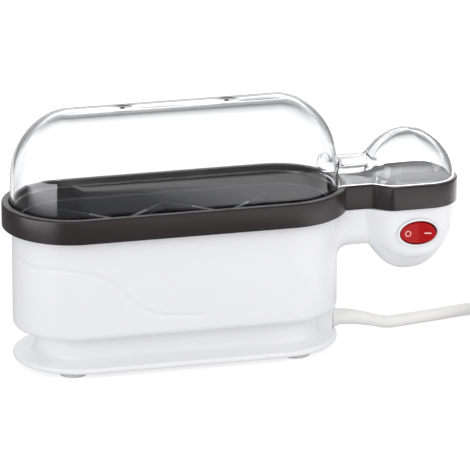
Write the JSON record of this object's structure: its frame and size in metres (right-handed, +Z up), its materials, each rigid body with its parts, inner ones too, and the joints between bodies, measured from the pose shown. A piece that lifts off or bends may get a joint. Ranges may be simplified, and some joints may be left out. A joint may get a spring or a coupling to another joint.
{
  "type": "electric egg cooker",
  "caption": "Long electric egg cooker with a clear domed lid, dark rim, white body, winding base, side pod with rocker switch and mains cord.",
  "frame": {"origin": "middle of the cooker's bounding box at the level of the feet, without the free cord, its tie and its plug", "axes": "+X along the body towards the pod with the switch, +Y to the back, +Z up; the switch faces -Y"},
  "size_m": [0.4003, 0.1116, 0.1455],
  "materials": {
    "white_plastic": "satin white moulding",
    "dark_plastic": "satin dark brown moulding",
    "carrier_plastic": "smooth dark moulding",
    "clear_plastic": "polished clear moulding",
    "red_plastic": "translucent glossy red",
    "coated_pan": "dark non-stick coating",
    "foot_rubber": "matt soft plastic",
    "seal_rubber": "matt silicone",
    "steel": "bright steel",
    "brass": "bare brass",
    "ceramic": "unglazed ceramic",
    "lamp_glass": "small neon lamp",
    "black_plastic": "moulded phenolic",
    "cord_sheath": "soft pale grey sheath",
    "tie_plastic": "thin white band",
    "plug_plastic": "satin white moulding",
    "wire_brown": "wire insulation",
    "wire_blue": "wire insulation",
    "wire_white": "heat-proof wire sleeving",
    "wire_green": "wire insulation"
  },
  "bodies": {
    "cooker": {"base_plate": "white_plastic", "foot_front_left": "foot_rubber", "foot_front_right": "foot_rubber", "foot_rear_left": "foot_rubber", "foot_rear_right": "foot_rubber", "base_screw_1": "steel", "base_screw_2": "steel", "base_screw_3": "steel", "base_screw_4": "steel", "body_shell": "white_plastic", "rim_frame": "dark_plastic", "pan_seal": "seal_rubber", "heating_pan": "coated_pan", "heating_element": "steel", "element_pin_front": "steel", "element_pin_rear": "steel", "element_clamp": "steel", "clamp_nut_left": "steel", "clamp_nut_right": "steel", "thermostat": "black_plastic", "thermal_fuse": "ceramic", "earth_tab": "brass", "switch_housing": "white_plastic", "switch_lamp": "lamp_glass", "switch_terminal_1": "brass", "switch_terminal_2": "brass", "switch_terminal_3": "brass", "terminal_block": "ceramic", "block_screw_1": "brass", "block_screw_2": "brass", "block_screw_3": "brass", "cord_clamp": "white_plastic", "cord_clamp_screw_front": "steel", "cord_clamp_screw_rear": "steel", "cord_tail": "cord_sheath", "wire_supply": "wire_brown", "wire_switched": "wire_brown", "wire_fuse_link": "wire_white", "wire_element": "wire_white", "wire_neutral": "wire_blue", "wire_lamp": "wire_blue", "wire_earth": "wire_green", "cord_gland": "cord_sheath", "cord_lead": "cord_sheath", "cord_coil": "cord_sheath", "cord_tie": "tie_plastic", "mains_plug": "plug_plastic", "plug_pin_left": "steel", "plug_pin_right": "steel"},
    "carrier": {"egg_carrier": "carrier_plastic"},
    "lid": {"lid": "clear_plastic"},
    "rocker": {"switch_rocker": "red_plastic"},
    "contact": {"contact_lever": "brass"}
  },
  "joints": [
    {"name": "carrier_lift", "type": "slide", "parent": "cooker", "child": "carrier", "axis": [0, 0, 1], "range_m": [0, 0.05]},
    {"name": "lid_lift", "type": "slide", "parent": "carrier", "child": "lid", "axis": [0, 0, 1], "range_m": [0, 0.08]},
    {"name": "rocker_tilt", "type": "hinge", "parent": "cooker", "child": "rocker", "pos_m": [0.10305, -0.0205, 0.066], "axis": [0, 0, 1], "range_deg": [0, 16]},
    {"name": "contact_swing", "type": "hinge", "parent": "cooker", "child": "contact", "pos_m": [0.10305, -0.0159, 0.066], "axis": [0, 0, 1], "range_deg": [-16, 0]}
  ],
  "couplings": [
    {"joint": "contact_swing", "follows": "rocker_tilt", "ratio": -1}
  ]
}
